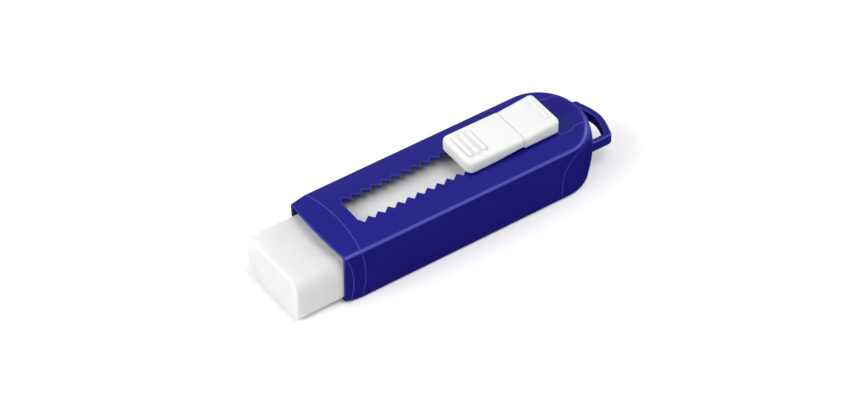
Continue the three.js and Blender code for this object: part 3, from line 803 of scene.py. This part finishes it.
def eraser_rubber():
    colour = (0.70, 0.70, 0.695)
    material, shader = new_material("eraser_rubber", colour, 0.75)
    shader.inputs["Specular IOR Level"].default_value = 0.3
    shader.inputs["Subsurface Weight"].default_value = 0.6
    shader.inputs["Subsurface Radius"].default_value = (1.0, 0.95, 0.9)
    shader.inputs["Subsurface Scale"].default_value = 0.003
    tint(material, shader, noise(material, 180.0), colour, (0.73, 0.73, 0.725))
    vary(material, shader, "Roughness", noise(material, 700.0), 0.68, 0.82)
    roughen(material, shader, noise(material, 2600.0, 4.0), 0.15, 0.00005, EDGE_SOFTNESS)
    return material


def drawn_steel():
    colour = (0.62, 0.63, 0.65)
    material, shader = new_material("spring_steel", colour, 0.28)
    shader.inputs["Metallic"].default_value = 1.0
    tint(material, shader, noise(material, 400.0), colour, (0.5, 0.51, 0.53))
    vary(material, shader, "Roughness", noise(material, 1500.0), 0.22, 0.36)
    roughen(material, shader, noise(material, 4000.0), 0.1, 0.00003, STEEL_EDGE_SOFTNESS)
    return material


# the third colour is the sleeve's painted edge highlight, and the share paints highlights on its upper
# rounded edges
blue_plastic = moulded_plastic("sleeve_plastic", (0.003, 0.001, 0.188), (0.004, 0.0014, 0.202), 0.34,
                               (0.11, 0.10, 0.56), shoulder_highlight=0.62)
white_plastic = moulded_plastic("slide_plastic", (0.78, 0.78, 0.77), (0.81, 0.81, 0.80), 0.38,
                                (0.80, 0.80, 0.79), glow=0.4)
inner_plastic = moulded_plastic("inner_plastic", (0.72, 0.72, 0.69), (0.77, 0.77, 0.74), 0.5,
                                (0.80, 0.80, 0.77), grain=0.15)
rubber = eraser_rubber()
steel = drawn_steel()


# ---- Pieces ----


def finish_piece(piece, material, body, slot, *nodes):
    """Cleans a remade piece, scales it to metres and hangs it on its body in place of its CAD nodes."""
    shape = bmesh.new()
    shape.from_mesh(piece.data)
    bmesh.ops.remove_doubles(shape, verts=shape.verts, dist=WELD)
    bmesh.ops.scale(shape, vec=(MM, MM, MM), verts=shape.verts)
    shape.to_mesh(piece.data)
    shape.free()
    piece.data.shade_smooth()
    piece.data.set_sharp_from_angle(angle=math.radians(SHARP_ANGLE))
    piece.data.materials.clear()
    piece.data.materials.append(material)
    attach(piece, body)
    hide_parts(*nodes)


finish_piece(make_collar(), blue_plastic, "sleeve", "sleeve_plastic", "front_collar")
finish_piece(make_sleeve(), blue_plastic, "sleeve", "sleeve_plastic", "sleeve_shell")
finish_piece(make_cap(), blue_plastic, "sleeve", "sleeve_plastic", "rear_cap")
finish_piece(make_slide(), white_plastic, "slider", "slide_plastic", "thumb_slide")
finish_piece(make_button(), white_plastic, "latch", "slide_plastic", "latch_button")
finish_piece(make_block(), rubber, "eraser", "eraser_rubber", "eraser_block")

for node, material in {
    "slide_carriage": inner_plastic,
    "detent_pawl": inner_plastic,
    "latch_spring": steel,
    "hinge_pin": steel,
}.items():
    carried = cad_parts[node]
    carried.data.materials.clear()
    carried.data.materials.append(material)


# ---- Stage ----


def make_floor():
    across = (-FLOOR_SIZE, FLOOR_SIZE)
    floor = box("floor", across, across, (-FLOOR_DEPTH, 0.0))
    material, shader = new_material("floor", (0.93, 0.93, 0.93), 0.9)
    shader.inputs["Specular IOR Level"].default_value = 0.0
    shader.inputs["Emission Color"].default_value = (1, 1, 1, 1)
    shader.inputs["Emission Strength"].default_value = 0.06
    floor.data.materials.append(material)
    floor.visible_glossy = False


def add_light(name, towards, distance, size, radiance):
    """A round soft light in the given direction; radiance is its brightness as it is seen from the object."""
    place = Vector(towards).normalized() * distance
    data = bpy.data.lights.new(name, "AREA")
    data.shape = "DISK"
    data.size = size
    data.energy = radiance * math.pi * math.pi * (size / 2) ** 2
    light = bpy.data.objects.new(name, data)
    light.location = place
    light.rotation_mode = "QUATERNION"
    light.rotation_quaternion = place.to_track_quat("Z", "Y")
    bpy.context.scene.collection.objects.link(light)


def add_camera():
    azimuth, elevation = math.radians(CAMERA["azimuth"]), math.radians(CAMERA["elevation"])
    level = math.cos(elevation)
    back = Vector((math.sin(azimuth) * level, -math.cos(azimuth) * level, math.sin(elevation)))
    data = bpy.data.cameras.new("camera")
    data.sensor_width = 36.0
    data.lens = CAMERA["lens"]
    data.clip_start, data.clip_end = 0.05, 20
    camera = bpy.data.objects.new("camera", data)
    camera.location = Vector(CAMERA_AIM) + back * CAMERA["distance"]
    camera.rotation_mode = "QUATERNION"
    camera.rotation_quaternion = (-back).to_track_quat("-Z", "Y")
    bpy.context.scene.collection.objects.link(camera)
    bpy.context.scene.camera = camera


def add_world():
    """A pale studio above the floor's level and a dark one below it, with a soft change between them."""
    world = bpy.data.worlds.new("studio")
    world.use_nodes = True
    nodes, links = world.node_tree.nodes, world.node_tree.links
    background = nodes["Background"]
    where = nodes.new("ShaderNodeTexCoord")
    parts = nodes.new("ShaderNodeSeparateXYZ")
    ramp = nodes.new("ShaderNodeValToRGB")
    ramp.color_ramp.elements[0].position = 0.0
    ramp.color_ramp.elements[0].color = (0.03, 0.03, 0.03, 1)
    ramp.color_ramp.elements[1].position = 0.25
    ramp.color_ramp.elements[1].color = (1, 1, 1, 1)
    links.new(where.outputs["Generated"], parts.inputs["Vector"])
    links.new(parts.outputs["Z"], ramp.inputs["Fac"])
    links.new(ramp.outputs["Color"], background.inputs["Color"])
    background.inputs["Strength"].default_value = WORLD_LIGHT
    bpy.context.scene.world = world


make_floor()
add_world()
for name, light in LIGHTS.items():
    add_light(name, **light)
add_camera()
bpy.context.scene.view_settings.view_transform = "Standard"
